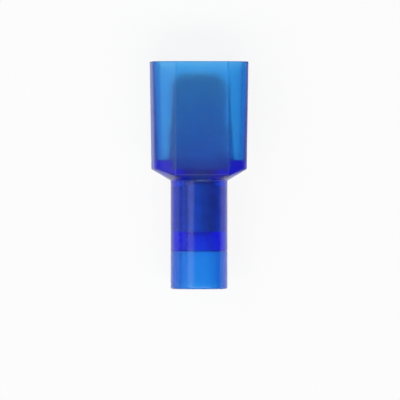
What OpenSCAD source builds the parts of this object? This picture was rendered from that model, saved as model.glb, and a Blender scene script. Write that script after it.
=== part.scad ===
// Fully insulated male spade terminal: a flat tab terminal inside a moulded nylon housing.
// It lies on one flat panel, with its mouth towards +Y and its wire end towards -Y.
// Each sub-part is drawn upright along its own axis, wire end down, and then laid down.

/* [Housing sleeve] */
// Length of the round sleeve, from the wire end to the taper
sleeve_length = 12.4; // [10:0.1:16]
// Outer diameter of the round sleeve
sleeve_d = 6.5; // [6:0.05:6.8]
// Chamfer on the outer edge of the wire end
sleeve_chamfer = 0.25; // [0.05:0.05:0.4]
// Diameter of the bore that takes the wire with its insulation
wire_entry_d = 5; // [4.2:0.05:5.4]
// Chamfer at the mouth of the wire bore
wire_entry_chamfer = 0.2; // [0.05:0.05:0.4]
// Length of the funnel that guides the bare strands from the wire stop to the crimp barrel
guide_length = 2.2; // [1:0.1:3]
// Width of the guide at the wire stop, the step at the end of the wire bore
guide_mouth_d = 3.2; // [2.6:0.05:3.8]
// Width of the guide at the crimp barrel, which keeps the strands clear of the barrel's edge
guide_d = 2.2; // [1.6:0.05:2.3]

/* [Housing shroud] */
// Length of the shroud and its taper, from the sleeve to the mouth rim
shroud_length = 13.6; // [13:0.1:18]
// Width of the shroud at the mouth rim
mouth_w = 11.05; // [10.6:0.05:13]
// Width of the shroud at its lower corners
corner_w = 10.65; // [10.2:0.05:12.6]
// Thickness of the shroud over its two flat panels
panel_t = 7.4; // [6.6:0.1:8.6]
// Width of each flat panel
panel_w = 6.05; // [4.6:0.05:6.8]
// Angle by which the flanks fall away beside a panel
flank_angle = 29; // [22:0.5:34]
// Radius of the edges between a panel and its flanks
panel_round = 0.5; // [0.1:0.05:0.6]
// Radius of the edges between the flanks and the narrow sides
side_round = 1.6; // [0.8:0.05:2]
// Height of the shroud's lower side corners above the sleeve
corner_rise = 1.25; // [1:0.05:1.9]
// Height of the panels' lower edges above the sleeve
panel_rise = 0.55; // [0.4:0.05:0.95]
// Wall of the flanks, and of all sides at the mouth rim
flank_wall = 0.5; // [0.35:0.05:0.7]
// Wall of the two flat panels at the cavity floor, from where it thins to the rim
panel_wall = 0.9; // [0.5:0.05:1.1]
// Wall of the two narrow sides at the cavity floor, from where it thins to the rim
side_wall = 0.65; // [0.4:0.05:1]
// Depth of the cavity, from the mouth rim to its floor
cavity_depth = 11.3; // [10.6:0.1:11.8]
// Radius of the cavity's edges beside the flat panels
cavity_round = 0.3; // [0.15:0.05:0.6]
// Radius of the cavity's edges beside the narrow sides
cavity_side_round = 1.05; // [0.3:0.05:1.4]
// Depth of the slot in the cavity floor that takes the root of the tab
root_slot_depth = 1; // [0.6:0.05:1.2]
// Ledge of the cavity floor between the slot and each flat panel
root_slot_ledge = 0.15; // [0.1:0.05:0.3]

/* [Tab terminal] */
// Thickness of the strip that the terminal is stamped from
stock_t = 0.8; // [0.6:0.05:1]
// Width of the tab
tab_w = 6.3; // [4.8:0.05:6.6]
// Length of the tab, from the cavity floor to its tip
tab_length = 9.8; // [8:0.1:10.4]
// Size of the corners cut off the tab's tip
tip_chamfer = 1; // [0.4:0.1:1.6]
// Depth of the bevels that thin the tip
tip_bevel = 0.25; // [0.1:0.05:0.35]
// Length of the bevels that thin the tip
tip_bevel_length = 0.7; // [0.3:0.1:1.2]
// Width over the two barbs at the sides of the tab
barb_w = 6.9; // [6.7:0.05:7.4]
// Length of a barb along the tab
barb_length = 1.7; // [1:0.1:2.4]
// Distance from the cavity floor to the barbs
barb_offset = 1.8; // [1.5:0.1:3]
// Width over the shoulders that sit on the cavity floor
shoulder_w = 7.2; // [6.8:0.05:7.8]
// Height of the shoulders
shoulder_h = 1.2; // [0.8:0.1:1.4]
// Length of the neck, from the root of the tab to the crimp barrel
neck_length = 1.95; // [1.6:0.05:2.6]
// Width of the neck
neck_w = 3.2; // [2.4:0.1:3.4]
// Straight run of the neck below the tab's root, before it bends
neck_run = 0.35; // [0.2:0.05:0.5]
// Length of the crimp barrel
crimp_length = 5.2; // [4.4:0.1:5.8]
// Bore of the crimp barrel
crimp_bore_d = 2.4; // [1.8:0.05:2.8]
// Width of the barrel's butt seam
seam_w = 0.12; // [0.05:0.01:0.3]

/* [Fits] */
// Radial gap between the crimp barrel and the sleeve around it
barrel_gap = 0.02; // [0.01:0.01:0.1]
// Gap between the crimp barrel's end and its seat in the sleeve
seat_gap = 0.05; // [0.02:0.01:0.2]
// Gap between the tab's root and the sides and floor of its slot
root_gap = 0.05; // [0.02:0.01:0.1]

/* [Hidden] */
$fn = 96;

// Reach of a cut past the face that it opens
over = 0.5;
// Depth by which joined shapes sink into each other
sink = 0.2;
// Thickness of the thin slices that a shell is stretched between
slice = 0.02;

// Levels along the axis, from the wire end
rim_level = sleeve_length + shroud_length;
corner_level = sleeve_length + corner_rise;
panel_level = sleeve_length + panel_rise;
floor_level = rim_level - cavity_depth;
tip_level = floor_level + tab_length;
barb_level = floor_level + barb_offset;
shoulder_level = floor_level + shoulder_h;
slot_level = floor_level - root_slot_depth;
root_level = slot_level + root_gap;
crimp_top = root_level - neck_length;
crimp_end = crimp_top - crimp_length;
seat_level = crimp_end - seat_gap;
stop_level = seat_level - guide_length;

// Radii
sleeve_r = sleeve_d / 2;
wire_entry_r = wire_entry_d / 2;
guide_mouth_r = guide_mouth_d / 2;
guide_r = guide_d / 2;
crimp_bore_r = crimp_bore_d / 2;
crimp_r = crimp_bore_r + stock_t;
grip_r = crimp_r + barrel_gap;

// Section of the slot for the tab's root
slot_w = tab_w + 2 * root_gap;
slot_t = panel_t - 2 * (panel_wall + root_slot_ledge);

// The line that a flank lies on, as an outward normal and a distance from the axis
flank_normal = [sin(flank_angle), cos(flank_angle)];
flank_distance = flank_normal * [panel_w / 2, panel_t / 2];

// Height of the axis when the part lies down
axis_height = max(panel_t / 2, sleeve_r);

// Half of the shroud's outer width at a level, with the moulding draft
function half_width(level) =
    corner_w / 2
    + (mouth_w - corner_w) / 2 * (level - corner_level) / (rim_level - corner_level);

// Centre of the round between a panel and a flank, each drawn in by its own inset
function panel_centre(panel_inset, flank_inset, r) =
    let (y = panel_t / 2 - panel_inset - r)
    [(flank_distance - flank_inset - r - flank_normal.y * y) / flank_normal.x, y];

// Centre of the round between a narrow side and a flank, each drawn in by its own inset
function side_centre(level, side_inset, flank_inset, r) =
    let (x = half_width(level) - side_inset - r)
    [x, (flank_distance - flank_inset - r - flank_normal.x * x) / flank_normal.y];

// Lays down a shape drawn upright: its axis turns to +Y at the axis height
module lay_down() {
    translate([0, -rim_level / 2, axis_height])
        rotate([-90, 0, 0])
            children();
}

// The same upright round at the four corners of a section
module four_rounds(centre, r, level, h) {
    for (x = [-centre.x, centre.x], y = [-centre.y, centre.y])
        translate([x, y, level])
            cylinder(h = h, r = r, $fn = 32);
}

// A thin slice of the cavity, which leaves the flanks' wall and the given walls around it
module cavity_slice(level, panel_inset, side_inset) {
    panel_edge = panel_centre(panel_inset, flank_wall, cavity_round);
    four_rounds(panel_edge, cavity_round, level, slice);
    side_edge = side_centre(level, side_inset, flank_wall, cavity_side_round);
    four_rounds(side_edge, cavity_side_round, level, slice);
}

// Outside of the shroud with its taper down to the sleeve
module shroud_outside() {
    hull() {
        four_rounds(panel_centre(0, 0, panel_round), panel_round, panel_level, rim_level - panel_level);
        four_rounds(side_centre(corner_level, 0, 0, side_round), side_round, corner_level, slice);
        four_rounds(side_centre(rim_level, 0, 0, side_round), side_round, rim_level - slice, slice);
        translate([0, 0, sleeve_length])
            cylinder(h = slice, r = sleeve_r - slice, $fn = 64);
    }
}

// Room for the mating housing, which widens from the floor to the mouth
module cavity() {
    hull() {
        cavity_slice(floor_level, panel_wall, side_wall);
        cavity_slice(rim_level, flank_wall, flank_wall);
    }
}

// Room below the cavity floor for the root of the tab
module root_slot() {
    translate([-slot_w / 2, -slot_t / 2, slot_level])
        cube([slot_w, slot_t, root_slot_depth + sink]);
}

// Outside of the sleeve, sunk into the taper above it
module sleeve_outside() {
    rotate_extrude()
        polygon([
            [0, 0],
            [sleeve_r - sleeve_chamfer, 0],
            [sleeve_r, sleeve_chamfer],
            [sleeve_r, sleeve_length + sink],
            [0, sleeve_length + sink]
        ]);
}

// The way through the sleeve: wire bore, stop, strand guide, seat and the grip on the crimp barrel
module wire_passage() {
    rotate_extrude()
        polygon([
            [0, -over],
            [wire_entry_r + wire_entry_chamfer + over, -over],
            [wire_entry_r, wire_entry_chamfer],
            [wire_entry_r, stop_level],
            [guide_mouth_r, stop_level],
            [guide_r, seat_level],
            [grip_r, seat_level],
            [grip_r, slot_level + sink],
            [0, slot_level + sink]
        ]);
}

module insulator_housing() {
    color("royalblue")
        lay_down()
            difference() {
                union() {
                    shroud_outside();
                    sleeve_outside();
                }
                cavity();
                root_slot();
                wire_passage();
            }
}

// The flat tab with its barbs, shoulders and root, thinned at the tip
module tab() {
    right_side = [
        [tab_w / 2 - tip_chamfer, tip_level],
        [tab_w / 2, tip_level - tip_chamfer],
        [tab_w / 2, barb_level + barb_length + (barb_w - tab_w) / 2],
        [barb_w / 2, barb_level + barb_length],
        [barb_w / 2, barb_level],
        [tab_w / 2, barb_level],
        [tab_w / 2, shoulder_level],
        [shoulder_w / 2, shoulder_level],
        [shoulder_w / 2, floor_level],
        [tab_w / 2, floor_level],
        [tab_w / 2, root_level]
    ];
    last = len(right_side) - 1;
    left_side = [for (i = [last:-1:0]) [-right_side[i].x, right_side[i].y]];
    blank_w = max(barb_w, shoulder_w) + over;
    intersection() {
        rotate([90, 0, 0])
            linear_extrude(height = stock_t, center = true)
                polygon(concat(right_side, left_side));
        rotate([90, 0, 90])
            linear_extrude(height = blank_w, center = true)
                polygon([
                    [-stock_t / 2, root_level],
                    [-stock_t / 2, tip_level - tip_bevel_length],
                    [-stock_t / 2 + tip_bevel, tip_level],
                    [stock_t / 2 - tip_bevel, tip_level],
                    [stock_t / 2, tip_level - tip_bevel_length],
                    [stock_t / 2, root_level]
                ]);
    }
}

// The bent strip that joins the tab, on the axis, to the wall of the crimp barrel
module neck() {
    bend_level = root_level - neck_run;
    slope = atan2(crimp_bore_r + stock_t / 2, bend_level - crimp_top);
    bend_drop = stock_t * tan(slope / 2);
    foot_level = crimp_top - bend_drop - sink;
    intersection() {
        rotate([90, 0, 90])
            linear_extrude(height = neck_w, center = true)
                polygon([
                    [-stock_t / 2, root_level + sink],
                    [-stock_t / 2, bend_level],
                    [-crimp_r, crimp_top],
                    [-crimp_r, foot_level],
                    [-crimp_bore_r + sink, foot_level],
                    [-crimp_bore_r + sink, crimp_top - bend_drop],
                    [stock_t / 2, bend_level - bend_drop],
                    [stock_t / 2, root_level + sink]
                ]);
        translate([0, 0, crimp_end])
            cylinder(h = root_level + sink - crimp_end, r = crimp_r);
    }
}

// The rolled barrel before it is bored
module crimp_outside() {
    translate([0, 0, crimp_end])
        cylinder(h = crimp_length, r = crimp_r);
}

// The barrel's bore, and the seam where its rolled edges meet
module crimp_inside() {
    cut_length = over + crimp_length + sink;
    translate([0, 0, crimp_end - over])
        cylinder(h = cut_length, r = crimp_bore_r);
    translate([-seam_w / 2, 0, crimp_end - over])
        cube([seam_w, crimp_r + over, cut_length]);
}

module tab_terminal() {
    color("silver")
        lay_down()
            difference() {
                union() {
                    tab();
                    neck();
                    crimp_outside();
                }
                crimp_inside();
            }
}

insulator_housing();
tab_terminal();
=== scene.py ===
import math

import bmesh
import bpy
from mathutils import Matrix, Vector


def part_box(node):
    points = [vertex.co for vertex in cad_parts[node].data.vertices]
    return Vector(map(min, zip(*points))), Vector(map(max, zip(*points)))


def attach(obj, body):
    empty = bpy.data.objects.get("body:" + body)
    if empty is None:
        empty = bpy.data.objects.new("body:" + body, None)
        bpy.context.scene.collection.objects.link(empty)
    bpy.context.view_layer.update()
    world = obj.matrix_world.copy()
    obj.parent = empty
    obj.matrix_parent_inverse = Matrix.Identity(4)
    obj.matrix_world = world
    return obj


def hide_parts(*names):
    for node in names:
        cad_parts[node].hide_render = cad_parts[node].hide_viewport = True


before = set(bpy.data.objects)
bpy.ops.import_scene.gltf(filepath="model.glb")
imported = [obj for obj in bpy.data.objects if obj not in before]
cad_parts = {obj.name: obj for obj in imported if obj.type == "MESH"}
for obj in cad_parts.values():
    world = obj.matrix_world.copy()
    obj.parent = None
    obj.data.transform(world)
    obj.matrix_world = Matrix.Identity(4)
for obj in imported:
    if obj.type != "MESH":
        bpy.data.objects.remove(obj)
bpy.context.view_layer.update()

# Pieces are drawn upright in millimetres, wire end at level 0, and then laid down and scaled to metres
MM = 0.001
housing_low, housing_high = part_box("insulator_housing")
LENGTH = (housing_high.y - housing_low.y) / MM
MOUTH_W = (housing_high.x - housing_low.x) / MM
PANEL_T = (housing_high.z - housing_low.z) / MM
AXIS_HEIGHT = PANEL_T / 2
LAY_DOWN = (
    Matrix.Scale(MM, 4)
    @ Matrix.Translation((0, -LENGTH / 2, AXIS_HEIGHT))
    @ Matrix.Rotation(math.radians(-90), 4, "X")
)

# Housing sleeve
SLEEVE_LENGTH = 12.4
SLEEVE_R = 3.25
SLEEVE_CHAMFER = 0.25
WIRE_ENTRY_R = 2.5
WIRE_ENTRY_CHAMFER = 0.2
GUIDE_LENGTH = 2.2
GUIDE_MOUTH_R = 1.6
GUIDE_R = 1.1

# Housing shroud: the panels' and sides' walls at the cavity floor thin to the flanks' wall at the rim
CORNER_W = 10.65
PANEL_W = 6.05
FLANK_ANGLE = math.radians(29)
PANEL_ROUND = 0.5
SIDE_ROUND = 1.6
CORNER_RISE = 1.25
PANEL_RISE = 0.55
FLANK_WALL = 0.5
PANEL_WALL = 0.9
SIDE_WALL = 0.65
CAVITY_DEPTH = 11.3
CAVITY_ROUND = 0.3
CAVITY_SIDE_ROUND = 1.05
ROOT_SLOT_DEPTH = 1.0

# Tab terminal
STOCK_T = 0.8
TAB_W = 6.3
TAB_LENGTH = 9.8
TIP_CHAMFER = 1.0
TIP_BEVEL = 0.25
TIP_BEVEL_LENGTH = 0.7
BARB_W = 6.9
BARB_LENGTH = 1.7
BARB_OFFSET = 1.8
SHOULDER_W = 7.2
SHOULDER_H = 1.2
NECK_LENGTH = 1.95
NECK_W = 3.2
NECK_RUN = 0.35
CRIMP_LENGTH = 5.2
CRIMP_BORE_R = 1.2
SEAM_W = 0.12

# Fits: the moulded nylon clings to the metal, so that the two sink a hair into each other
CLING = 0.01
SEAT_GAP = 0.05
ROOT_GAP = 0.05

# Levels along the axis, from the wire end
CORNER_LEVEL = SLEEVE_LENGTH + CORNER_RISE
PANEL_LEVEL = SLEEVE_LENGTH + PANEL_RISE
FLOOR_LEVEL = LENGTH - CAVITY_DEPTH
SLOT_LEVEL = FLOOR_LEVEL - ROOT_SLOT_DEPTH
TIP_LEVEL = FLOOR_LEVEL + TAB_LENGTH
BARB_LEVEL = FLOOR_LEVEL + BARB_OFFSET
SHOULDER_LEVEL = FLOOR_LEVEL + SHOULDER_H
ROOT_LEVEL = SLOT_LEVEL + ROOT_GAP
CRIMP_TOP = ROOT_LEVEL - NECK_LENGTH
CRIMP_END = CRIMP_TOP - CRIMP_LENGTH
SEAT_LEVEL = CRIMP_END - SEAT_GAP
STOP_LEVEL = SEAT_LEVEL - GUIDE_LENGTH

# Radii of the sleeve's grip on the barrel, and of the middle of the strip in the rolled barrel
GRIP_R = CRIMP_BORE_R + STOCK_T - CLING
ROLL_R = CRIMP_BORE_R + STOCK_T / 2

# Section of the slot in the cavity floor that takes the tab's root
SLOT_W = TAB_W + 2 * ROOT_GAP
SLOT_LEDGE = 0.15
SLOT_T = PANEL_T - 2 * (PANEL_WALL + SLOT_LEDGE)
SLOT_ROUND = 0.3

# The line that a flank lies on, as an outward normal and a distance from the axis
FLANK_NORMAL = Vector((math.sin(FLANK_ANGLE), math.cos(FLANK_ANGLE)))
FLANK_DISTANCE = FLANK_NORMAL.dot(Vector((PANEL_W / 2, PANEL_T / 2)))

# Rounded edges: lower edges of the shroud, rim, cavity floor, foot of the taper, wire stop, stamped metal
SHROUD_EDGE = 0.15
RIM_EDGE = 0.1
FLOOR_FILLET = 0.1
TAPER_FILLET = 0.12
STOP_FILLET = 0.05
METAL_EDGE = 0.05

# Fineness: segments of a full turn, steps across a rounded edge, and cuts along the neck's bend
SLEEVE_SEGMENTS = 128
ROUND_SEGMENTS = 96
BARREL_SEGMENTS = 96
EDGE_STEPS = 4
METAL_EDGE_STEPS = 2
BEND_CUTS = 8
# Segments of the barrel's roll that run on into the neck
NECK_SEGMENTS = 30

# How near two levels or two points count as one, the turn between the faces of one flat, and a sharp turn
SAME_LEVEL = 0.001
SAME_POINT = 0.0005
FLAT_TURN = math.radians(0.3)
SHARP_TURN = math.radians(40)

# Mesh attribute that is 1 where the mould's core shaped the nylon, and 0 on the outside
CORE_SIDE = "core_side"
# Vertex group that holds the share of the strip's thickness, which is less at the tab's tip
THICKNESS_SHARE = "thickness_share"

# Stage: half of the floor's side and the hair that it lies below the part, in metres; the room's light
FLOOR_HALF = 1.5
FLOOR_DROP = 0.05 * MM
ROOM_LIGHT = 0.2


def half_width(level):
    """Half of the shroud's outer width at a level, with the moulding draft."""
    share = (level - CORNER_LEVEL) / (LENGTH - CORNER_LEVEL)
    return CORNER_W / 2 + (MOUTH_W - CORNER_W) / 2 * share


def panel_centre(panel_inset, flank_inset, radius):
    """Centre of the round between a panel and a flank, each drawn in by its own inset."""
    y = PANEL_T / 2 - panel_inset - radius
    x = (FLANK_DISTANCE - flank_inset - radius - FLANK_NORMAL.y * y) / FLANK_NORMAL.x
    return x, y


def side_centre(level, side_inset, flank_inset, radius):
    """Centre of the round between a narrow side and a flank, each drawn in by its own inset."""
    x = half_width(level) - side_inset - radius
    y = (FLANK_DISTANCE - flank_inset - radius - FLANK_NORMAL.x * x) / FLANK_NORMAL.y
    return x, y


def quarter_round(edge):
    """Steps over a rounded edge, each as the way in from the side and the way in from the end."""
    turns = [math.pi / 2 * step / EDGE_STEPS for step in range(EDGE_STEPS + 1)]
    return [(edge * (1 - math.sin(turn)), edge * (1 - math.cos(turn))) for turn in turns]


def picked(geom, kind):
    """The elements of one kind among those that an operator gave back."""
    return [element for element in geom if isinstance(element, kind)]


def edges_of(verts):
    """The edges that start or end at the vertices, each once."""
    return list(dict.fromkeys(e for v in verts for e in v.link_edges))


def at_level(element, level):
    """Whether an edge or a face lies at a level all along."""
    return all(abs(v.co.z - level) < SAME_LEVEL for v in element.verts)


def round_edges(bm, edges, radius):
    """Rounds edges over by a radius."""
    bmesh.ops.bevel(
        bm,
        geom=edges,
        offset=radius,
        segments=EDGE_STEPS,
        profile=0.5,
        affect="EDGES",
        material=-1,
    )


def corner_circles(bm, centre, radius, level, edge=0.0, inward=1):
    """Circles at the four corners of a section that ends at a level with a rounded edge."""
    verts = []
    for side_way, end_way in quarter_round(edge) if edge else [(0, 0)]:
        for x in (-centre[0], centre[0]):
            for y in (-centre[1], centre[1]):
                made = bmesh.ops.create_circle(
                    bm,
                    segments=ROUND_SEGMENTS,
                    radius=radius - side_way,
                    matrix=Matrix.Translation((x, y, level + inward * end_way)),
                )
                verts += made["verts"]
    return verts


def stretch_skin(bm, verts):
    """Stretches a skin over the vertices, and leaves its flat faces whole."""
    found = bmesh.ops.convex_hull(bm, input=verts)
    inner = set(picked(found["geom_interior"] + found["geom_unused"], bmesh.types.BMVert))
    skin = [v for v in verts if v not in inner]
    bmesh.ops.delete(bm, geom=list(inner), context="VERTS")
    bmesh.ops.dissolve_limit(bm, angle_limit=FLAT_TURN, verts=skin, edges=edges_of(skin))


def open_end(bm, level):
    """Takes away the flat face at a level, and gives the edges around the opening."""
    ends = [f for f in bm.faces if at_level(f, level)]
    bmesh.ops.delete(bm, geom=ends, context="FACES_ONLY")
    return [e for e in bm.edges if e.is_boundary and at_level(e, level)]


def draw_out(bm, loop, grow, rise):
    """Extrudes an open loop, widens it on every side and raises it, and gives the new loop."""
    made = bmesh.ops.extrude_edge_only(bm, edges=loop)["geom"]
    verts = picked(made, bmesh.types.BMVert)
    reach = [max(v.co[axis] for v in verts) for axis in (0, 1)]
    bmesh.ops.scale(bm, vec=(1 + grow / reach[0], 1 + grow / reach[1], 1), verts=verts)
    bmesh.ops.translate(bm, vec=(0, 0, rise), verts=verts)
    return [e for e in picked(made, bmesh.types.BMEdge) if e.is_boundary]


def join_across(bm, outer, inner):
    """Bridges two loops on one level: the inner one dips meanwhile, so that they pair up the right way."""
    verts = list({v for e in inner for v in e.verts})
    dip = Vector((0, 0, 1))
    bmesh.ops.translate(bm, vec=-dip, verts=verts)
    bmesh.ops.bridge_loops(bm, edges=outer + inner)
    bmesh.ops.translate(bm, vec=dip, verts=verts)


def lathe(bm, profile, start=0.0, angle=math.tau, steps=SLEEVE_SEGMENTS):
    """Turns a profile of (radius, level) points around the axis."""
    verts = [bm.verts.new((r * math.cos(start), r * math.sin(start), level)) for r, level in profile]
    edges = [bm.edges.new(pair) for pair in zip(verts, verts[1:])]
    bmesh.ops.spin(
        bm,
        geom=verts + edges,
        cent=(0, 0, 0),
        axis=(0, 0, 1),
        angle=angle,
        steps=steps,
        use_merge=angle == math.tau,
    )


def finish_piece(bm, name, material):
    """Lays the drawn piece down, and gives it its material, body and slot."""
    bmesh.ops.remove_doubles(bm, verts=bm.verts, dist=SAME_POINT)
    bmesh.ops.recalc_face_normals(bm, faces=bm.faces)
    bmesh.ops.transform(bm, matrix=LAY_DOWN, verts=bm.verts)
    for face in bm.faces:
        face.smooth = True
    mesh = bpy.data.meshes.new(name)
    bm.to_mesh(mesh)
    bm.free()
    piece = bpy.data.objects.new(name, mesh)
    bpy.context.scene.collection.objects.link(piece)
    mesh.materials.append(material)
    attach(piece, "root")
    return piece


def keep_flats_flat(piece):
    """Sharp corners stay sharp, and large faces rule the shading of the rounded edges beside them."""
    piece.data.set_sharp_from_angle(angle=SHARP_TURN)
    shading = piece.modifiers.new("shading", "WEIGHTED_NORMAL")
    shading.keep_sharp = True


def shroud_outside(bm):
    """The outside of the shroud and its taper, open at both ends; gives the edges around the mouth."""
    panel_edge = panel_centre(0, 0, PANEL_ROUND)
    corner_edge = side_centre(CORNER_LEVEL, 0, 0, SIDE_ROUND)
    mouth_edge = side_centre(LENGTH, 0, 0, SIDE_ROUND)
    verts = corner_circles(bm, panel_edge, PANEL_ROUND, PANEL_LEVEL, SHROUD_EDGE)
    verts += corner_circles(bm, panel_edge, PANEL_ROUND, LENGTH, RIM_EDGE, -1)
    verts += corner_circles(bm, corner_edge, SIDE_ROUND, CORNER_LEVEL, SHROUD_EDGE)
    verts += corner_circles(bm, mouth_edge, SIDE_ROUND, LENGTH, RIM_EDGE, -1)
    foot = Matrix.Translation((0, 0, SLEEVE_LENGTH))
    verts += bmesh.ops.create_circle(bm, segments=SLEEVE_SEGMENTS, radius=SLEEVE_R, matrix=foot)["verts"]
    stretch_skin(bm, verts)
    open_end(bm, SLEEVE_LENGTH)
    return open_end(bm, LENGTH)


def cavity_section(bm, level, panel_wall, side_wall, edge=0.0):
    """The cavity's rounded corners at a level, inside the flanks' wall and the given walls."""
    panel_edge = panel_centre(panel_wall, FLANK_WALL, CAVITY_ROUND)
    side_edge = side_centre(level, side_wall, FLANK_WALL, CAVITY_SIDE_ROUND)
    verts = corner_circles(bm, panel_edge, CAVITY_ROUND, level, edge)
    return verts + corner_circles(bm, side_edge, CAVITY_SIDE_ROUND, level, edge)


def cavity(bm):
    """The walls of the cavity up to its rounded lip, open at both ends; gives the edges of the lip."""
    verts = cavity_section(bm, FLOOR_LEVEL, PANEL_WALL, SIDE_WALL, FLOOR_FILLET)
    verts += cavity_section(bm, LENGTH - RIM_EDGE, FLANK_WALL, FLANK_WALL)
    stretch_skin(bm, verts)
    open_end(bm, FLOOR_LEVEL)
    lip = open_end(bm, LENGTH - RIM_EDGE)
    steps = quarter_round(RIM_EDGE)[::-1]
    for (side_way, end_way), (next_side_way, next_end_way) in zip(steps, steps[1:]):
        lip = draw_out(bm, lip, next_side_way - side_way, end_way - next_end_way)
    return lip


def sleeve(bm):
    """The sleeve's outside and the way through it: wire bore, stop, strand guide, seat and grip."""
    end_round = quarter_round(SLEEVE_CHAMFER)[::-1]
    wire_end = [(SLEEVE_R - side_way, end_way) for side_way, end_way in end_round]
    entry_round = quarter_round(WIRE_ENTRY_CHAMFER)
    entry = [(WIRE_ENTRY_R + side_way, end_way) for side_way, end_way in entry_round]
    passage = [
        (WIRE_ENTRY_R, STOP_LEVEL),
        (GUIDE_MOUTH_R, STOP_LEVEL),
        (GUIDE_R, SEAT_LEVEL),
        (GRIP_R, SEAT_LEVEL),
        (GRIP_R, SLOT_LEVEL),
    ]
    lathe(bm, [(SLEEVE_R, SLEEVE_LENGTH)] + wire_end + entry + passage)


def root_slot(bm):
    """The walls of the slot for the tab's root, with rounded corners and open ends."""
    size = Matrix.Diagonal((SLOT_W, SLOT_T, FLOOR_LEVEL - SLOT_LEVEL, 1))
    place = Matrix.Translation((0, 0, (FLOOR_LEVEL + SLOT_LEVEL) / 2))
    verts = bmesh.ops.create_cube(bm, size=1, matrix=place @ size)["verts"]
    corners = [e for e in edges_of(verts) if e.verts[0].co.xy == e.verts[1].co.xy]
    round_edges(bm, corners, SLOT_ROUND)
    for level in (FLOOR_LEVEL, SLOT_LEVEL):
        open_end(bm, level)


def mark_core_side(bm, outer_skin):
    """Marks what the mould's core shaped: all but the shroud's outer skin and the sleeve's outside."""
    core_side = bm.verts.layers.float.new(CORE_SIDE)
    sleeve_side = SLEEVE_R - SLEEVE_CHAMFER - SAME_LEVEL
    for vert in bm.verts:
        on_sleeve = vert.co.z < SLEEVE_LENGTH + SAME_LEVEL and vert.co.xy.length > sleeve_side
        vert[core_side] = 0.0 if on_sleeve or vert in outer_skin else 1.0


def moulded_housing(material):
    """Sleeve, taper, shroud and cavity as one closed skin."""
    bm = bmesh.new()
    rim = shroud_outside(bm)
    outer_skin = set(bm.verts)
    join_across(bm, rim, cavity(bm))
    sleeve(bm)
    root_slot(bm)
    mark_core_side(bm, outer_skin)
    bmesh.ops.remove_doubles(bm, verts=bm.verts, dist=SAME_POINT)
    round_edges(bm, [e for e in bm.edges if at_level(e, STOP_LEVEL)], STOP_FILLET)
    for level in (FLOOR_LEVEL, SLOT_LEVEL):
        gap = [e for e in bm.edges if e.is_boundary and at_level(e, level)]
        bmesh.ops.triangle_fill(bm, use_beauty=True, edges=gap)
    round_edges(bm, [e for e in bm.edges if at_level(e, SLEEVE_LENGTH)], TAPER_FILLET)
    piece = finish_piece(bm, "nylon_housing", material)
    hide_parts("insulator_housing")
    keep_flats_flat(piece)


def tab_blank(bm):
    """The flat tab with its barbs, shoulders and root, cut across where the bevels of its tip start."""
    seat = FLOOR_LEVEL - CLING
    right_side = [
        (TAB_W / 2 - TIP_CHAMFER, TIP_LEVEL),
        (TAB_W / 2, TIP_LEVEL - TIP_CHAMFER),
        (TAB_W / 2, BARB_LEVEL + BARB_LENGTH + (BARB_W - TAB_W) / 2),
        (BARB_W / 2, BARB_LEVEL + BARB_LENGTH),
        (BARB_W / 2, BARB_LEVEL),
        (TAB_W / 2, BARB_LEVEL),
        (TAB_W / 2, SHOULDER_LEVEL),
        (SHOULDER_W / 2, SHOULDER_LEVEL),
        (SHOULDER_W / 2, seat),
        (TAB_W / 2, seat),
        (TAB_W / 2, ROOT_LEVEL),
        (NECK_W / 2, ROOT_LEVEL),
    ]
    left_side = [(-x, level) for x, level in right_side[::-1]]
    bm.faces.new([bm.verts.new((x, 0, level)) for x, level in right_side + left_side])
    bmesh.ops.bisect_plane(
        bm,
        geom=bm.verts[:] + bm.edges[:] + bm.faces[:],
        plane_co=(0, 0, TIP_LEVEL - TIP_BEVEL_LENGTH),
        plane_no=(0, 0, 1),
    )


def neck_root(bm):
    """The edges at which the neck leaves the tab's root."""
    half = NECK_W / 2 + SAME_LEVEL
    return [e for e in bm.edges if at_level(e, ROOT_LEVEL) and all(abs(v.co.x) < half for v in e.verts)]


def neck_and_barrel(bm):
    """The crimp barrel with its open seam, and the neck that bends from the tab's root to its wall."""
    bmesh.ops.subdivide_edges(bm, edges=neck_root(bm), cuts=NECK_SEGMENTS - 1)
    made = bmesh.ops.extrude_edge_only(bm, edges=neck_root(bm))["geom"]
    bend = picked(made, bmesh.types.BMVert)
    bmesh.ops.translate(bm, vec=(0, 0, -NECK_RUN), verts=bend)
    neck_end = [e for e in picked(made, bmesh.types.BMEdge) if all(v in bend for v in e.verts)]

    seam = SEAM_W / ROLL_R
    roll = [(ROLL_R, CRIMP_TOP), (ROLL_R, CRIMP_END)]
    lathe(bm, roll, math.pi / 2 + seam / 2, math.tau - seam, BARREL_SEGMENTS)
    ring = [e for e in bm.edges if at_level(e, CRIMP_TOP)]
    ring.sort(key=lambda e: e.verts[0].co.y + e.verts[1].co.y)
    rungs = bmesh.ops.bridge_loops(bm, edges=neck_end + ring[:NECK_SEGMENTS])["edges"]
    bmesh.ops.subdivide_edgering(bm, edges=rungs, interp_mode="SURFACE", smooth=1.0, cuts=BEND_CUTS)


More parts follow.
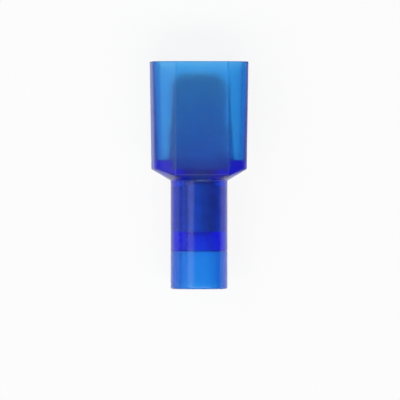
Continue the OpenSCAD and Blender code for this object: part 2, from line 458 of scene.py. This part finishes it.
def stamped_terminal(material):
    """One blank of strip: the tab, the bent neck and the rolled crimp barrel, thickened from its middle."""
    bm = bmesh.new()
    tab_blank(bm)
    neck_and_barrel(bm)
    share = bm.verts.layers.deform.verify()
    for vert in bm.verts:
        at_tip = vert.co.z > TIP_LEVEL - SAME_LEVEL
        vert[share][0] = 1 - 2 * TIP_BEVEL / STOCK_T if at_tip else 1.0
    piece = finish_piece(bm, "stamped_terminal", material)
    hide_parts("tab_terminal")
    piece.vertex_groups.new(name=THICKNESS_SHARE)
    strip = piece.modifiers.new("strip", "SOLIDIFY")
    strip.thickness = STOCK_T * MM
    strip.offset = 0
    strip.use_even_offset = True
    strip.vertex_group = THICKNESS_SHARE
    edges = piece.modifiers.new("tumbled_edges", "BEVEL")
    edges.width = METAL_EDGE * MM
    edges.segments = METAL_EDGE_STEPS
    edges.limit_method = "ANGLE"
    edges.angle_limit = SHARP_TURN
    keep_flats_flat(piece)


def linear(hex_colour):
    """An sRGB hex colour as linear red, green, blue and a full alpha."""
    channels = [int(hex_colour[i : i + 2], 16) / 255 for i in (1, 3, 5)]
    return (*[c / 12.92 if c <= 0.04045 else ((c + 0.055) / 1.055) ** 2.4 for c in channels], 1)


def pattern_scale(size):
    """The texture scale that makes a pattern's cells about a size in millimetres."""
    return 1 / (size * MM)


def add_node(tree, kind, links=None, values=None, **options):
    """Adds a node, sets its options and the values of its inputs, and links inputs to other outputs."""
    node = tree.nodes.new(kind)
    for name, option in options.items():
        setattr(node, name, option)
    for socket, value in (values or {}).items():
        node.inputs[socket].default_value = value
    for socket, source in (links or {}).items():
        tree.links.new(source, node.inputs[socket])
    return node


def new_material(name):
    """A material with an empty node tree, and that tree."""
    material = bpy.data.materials.new(name)
    material.use_nodes = True
    material.node_tree.nodes.clear()
    return material, material.node_tree


def moulded_blue_nylon():
    """Polyamide dyed blue and injection moulded.

    The eye gets a blue that is see-through in a thin wall and deep where it is thick, a satin gloss
    on the outside, a duller inside where the core drew out, and faint clouds and ripples of the melt.
    """
    material, tree = new_material("moulded_blue_nylon")
    place = add_node(tree, "ShaderNodeTexCoord").outputs["Object"]
    # The melt's flow leaves clouds about 2 mm across, and ripples about 1.5 mm long
    clouds = add_node(
        tree,
        "ShaderNodeTexNoise",
        links={"Vector": place},
        values={"Scale": pattern_scale(2.0), "Detail": 3.0},
    )
    ripples = add_node(
        tree,
        "ShaderNodeTexNoise",
        links={"Vector": place},
        values={"Scale": pattern_scale(1.5), "Detail": 1.0},
    )
    # The mould's spark-eroded skin, coarsened from a few hundredths of a millimetre so that it shows
    skin = add_node(
        tree,
        "ShaderNodeTexNoise",
        links={"Vector": place},
        values={"Scale": pattern_scale(0.25), "Detail": 2.0},
    )
    tone = add_node(tree, "ShaderNodeValToRGB", links={"Fac": clouds.outputs["Fac"]})
    for stop, position, colour in zip(tone.color_ramp.elements, (0.3, 0.7), ("#F2F7FF", "#FFFFFF")):
        stop.position = position
        stop.color = linear(colour)
    # Gloss of the outside and of the side that the core shaped, dulled a little more by the clouds
    side = add_node(tree, "ShaderNodeAttribute", attribute_name=CORE_SIDE)
    drawn = add_node(
        tree,
        "ShaderNodeMapRange",
        links={"Value": side.outputs["Fac"]},
        values={"To Min": 0.18, "To Max": 0.36},
    )
    rough = add_node(
        tree,
        "ShaderNodeMath",
        operation="MULTIPLY_ADD",
        links={0: clouds.outputs["Fac"], 2: drawn.outputs["Result"]},
        values={1: 0.08},
    )
    wavy = add_node(
        tree,
        "ShaderNodeBump",
        links={"Height": ripples.outputs["Fac"]},
        values={"Strength": 0.5, "Distance": 0.03 * MM},
    )
    grained = add_node(
        tree,
        "ShaderNodeBump",
        links={"Height": skin.outputs["Fac"], "Normal": wavy.outputs["Normal"]},
        values={"Strength": 0.2, "Distance": 0.005 * MM},
    )
    surface = add_node(
        tree,
        "ShaderNodeBsdfPrincipled",
        links={
            "Base Color": tone.outputs["Color"],
            "Roughness": rough.outputs[0],
            "Normal": grained.outputs["Normal"],
        },
        values={"IOR": 1.53, "Transmission Weight": 1.0},
    )
    # What the dye takes away for each millimetre: nearly all red, most green and little blue
    dye = add_node(
        tree,
        "ShaderNodeVolumeAbsorption",
        values={"Color": linear("#00DFFD"), "Density": 3.4 / MM},
    )
    add_node(
        tree,
        "ShaderNodeOutputMaterial",
        links={"Surface": surface.outputs["BSDF"], "Volume": dye.outputs["Volume"]},
    )
    return material


def tinned_brass():
    """Brass strip, tin plated, then stamped and rolled.

    The eye gets a pale grey metal with a soft sheen, fine rolling lines along the strip and a few
    duller patches.
    """
    material, tree = new_material("tinned_brass")
    place = add_node(tree, "ShaderNodeTexCoord").outputs["Object"]
    # Rolling lines, coarsened from hundredths of a millimetre to about 0.15 mm so that they show, 5 mm long
    along = add_node(
        tree,
        "ShaderNodeMapping",
        links={"Vector": place},
        values={"Scale": [pattern_scale(size) for size in (0.15, 5.0, 0.15)]},
    )
    lines = add_node(
        tree,
        "ShaderNodeTexNoise",
        links={"Vector": along.outputs["Vector"]},
        values={"Scale": 1.0, "Detail": 3.0},
    )
    # Handling dulls the tin in patches about 1.5 mm across
    patches = add_node(
        tree,
        "ShaderNodeTexNoise",
        links={"Vector": place},
        values={"Scale": pattern_scale(1.5), "Detail": 4.0},
    )
    tone = add_node(tree, "ShaderNodeValToRGB", links={"Fac": patches.outputs["Fac"]})
    for stop, position, colour in zip(tone.color_ramp.elements, (0.3, 0.7), ("#DDDEE0", "#EFF0F2")):
        stop.position = position
        stop.color = linear(colour)
    rough = add_node(
        tree,
        "ShaderNodeMapRange",
        links={"Value": lines.outputs["Fac"]},
        values={"To Min": 0.45, "To Max": 0.7},
    )
    scored = add_node(
        tree,
        "ShaderNodeBump",
        links={"Height": lines.outputs["Fac"]},
        values={"Strength": 0.3, "Distance": 0.004 * MM},
    )
    surface = add_node(
        tree,
        "ShaderNodeBsdfPrincipled",
        links={
            "Base Color": tone.outputs["Color"],
            "Roughness": rough.outputs["Result"],
            "Normal": scored.outputs["Normal"],
        },
        values={"Metallic": 1.0},
    )
    add_node(tree, "ShaderNodeOutputMaterial", links={"Surface": surface.outputs["BSDF"]})
    return material


def matt_white():
    """The floor's finish: white to the camera and through the nylon, and it keeps the part's shadow."""
    material, tree = new_material("white_floor")
    path = add_node(tree, "ShaderNodeLightPath")
    plain = add_node(tree, "ShaderNodeBsdfDiffuse", values={"Color": linear("#F9F9F9")})
    shown = add_node(tree, "ShaderNodeEmission", values={"Strength": 1.0})
    # The camera sees a share of the real floor too, for its shadow
    camera_share = add_node(
        tree,
        "ShaderNodeMath",
        operation="MULTIPLY",
        links={0: path.outputs["Is Camera Ray"]},
        values={1: 0.88},
    )
    either = add_node(
        tree,
        "ShaderNodeMath",
        operation="MAXIMUM",
        links={0: path.outputs["Is Glossy Ray"], 1: path.outputs["Is Transmission Ray"]},
    )
    share = add_node(
        tree,
        "ShaderNodeMath",
        operation="MAXIMUM",
        links={0: camera_share.outputs[0], 1: either.outputs[0]},
    )
    mix = add_node(
        tree,
        "ShaderNodeMixShader",
        links={0: share.outputs[0], 1: plain.outputs["BSDF"], 2: shown.outputs["Emission"]},
    )
    add_node(tree, "ShaderNodeOutputMaterial", links={"Surface": mix.outputs[0]})
    return material


def white_floor():
    """The plain floor that the part lies on."""
    bm = bmesh.new()
    below = Matrix.Translation((0, 0, -FLOOR_DROP))
    bmesh.ops.create_grid(bm, x_segments=1, y_segments=1, size=FLOOR_HALF, matrix=below)
    mesh = bpy.data.meshes.new("floor")
    bm.to_mesh(mesh)
    bm.free()
    mesh.materials.append(matt_white())
    floor = bpy.data.objects.new("floor", mesh)
    bpy.context.scene.collection.objects.link(floor)


def studio_world():
    """A dim even room, so that the nylon's outside mirrors the lamps and the floor and little else."""
    world = bpy.data.worlds.new("studio")
    bpy.context.scene.world = world
    world.use_nodes = True
    tree = world.node_tree
    tree.nodes.clear()
    light = add_node(
        tree,
        "ShaderNodeBackground",
        values={"Color": linear("#FFFFFF"), "Strength": ROOM_LIGHT},
    )
    add_node(tree, "ShaderNodeOutputWorld", links={"Surface": light.outputs[0]})


def softbox(name, width, height, distance, lean, turn, radiance):
    """A rectangular lamp, sized in metres.

    It leans from straight above towards -X, and is then turned around the upright axis, in degrees.
    """
    lamp = bpy.data.lights.new(name, "AREA")
    lamp.shape = "RECTANGLE"
    lamp.size = width
    lamp.size_y = height
    lamp.energy = radiance * math.pi * width * height
    holder = bpy.data.objects.new(name, lamp)
    bpy.context.scene.collection.objects.link(holder)
    upright = Matrix.Rotation(math.radians(turn), 4, "Z")
    tilt = Matrix.Rotation(math.radians(-lean), 4, "Y")
    holder.matrix_world = upright @ tilt @ Matrix.Translation((0, 0, distance))


def photo_camera():
    """A long lens from above, turned a little to the part's left, that frames it as the photo does."""
    photo_side = 400
    pixels_per_mm = 8.75
    centre_px = (199.05, 175.3)
    turn = math.radians(5.6)
    camera = bpy.data.cameras.new("camera")
    camera.lens = 900
    holder = bpy.data.objects.new("camera", camera)
    bpy.context.scene.collection.objects.link(holder)
    back = Vector((-math.sin(turn), 0, math.cos(turn)))
    up = Vector((0, 1, 0))
    right = up.cross(back)
    distance = photo_side / pixels_per_mm * MM * camera.lens / camera.sensor_width
    aim = Vector((0, 0, AXIS_HEIGHT * MM))
    aim += right * (photo_side / 2 - centre_px[0]) / pixels_per_mm * MM
    aim += up * (centre_px[1] - photo_side / 2) / pixels_per_mm * MM
    turned = Matrix((right, up, back)).transposed().to_4x4()
    holder.matrix_world = Matrix.Translation(aim + back * distance) @ turned
    bpy.context.scene.camera = holder


moulded_housing(moulded_blue_nylon())
stamped_terminal(tinned_brass())
white_floor()
studio_world()
softbox("strip", width=0.18, height=0.5, distance=0.4, lean=40, turn=0, radiance=1.3)
softbox("wire_side", width=0.26, height=1.2, distance=0.7, lean=33, turn=90, radiance=4.0)
softbox("low_side", width=0.25, height=0.9, distance=0.7, lean=70, turn=0, radiance=0.5)
photo_camera()
bpy.context.scene.view_settings.view_transform = "Standard"
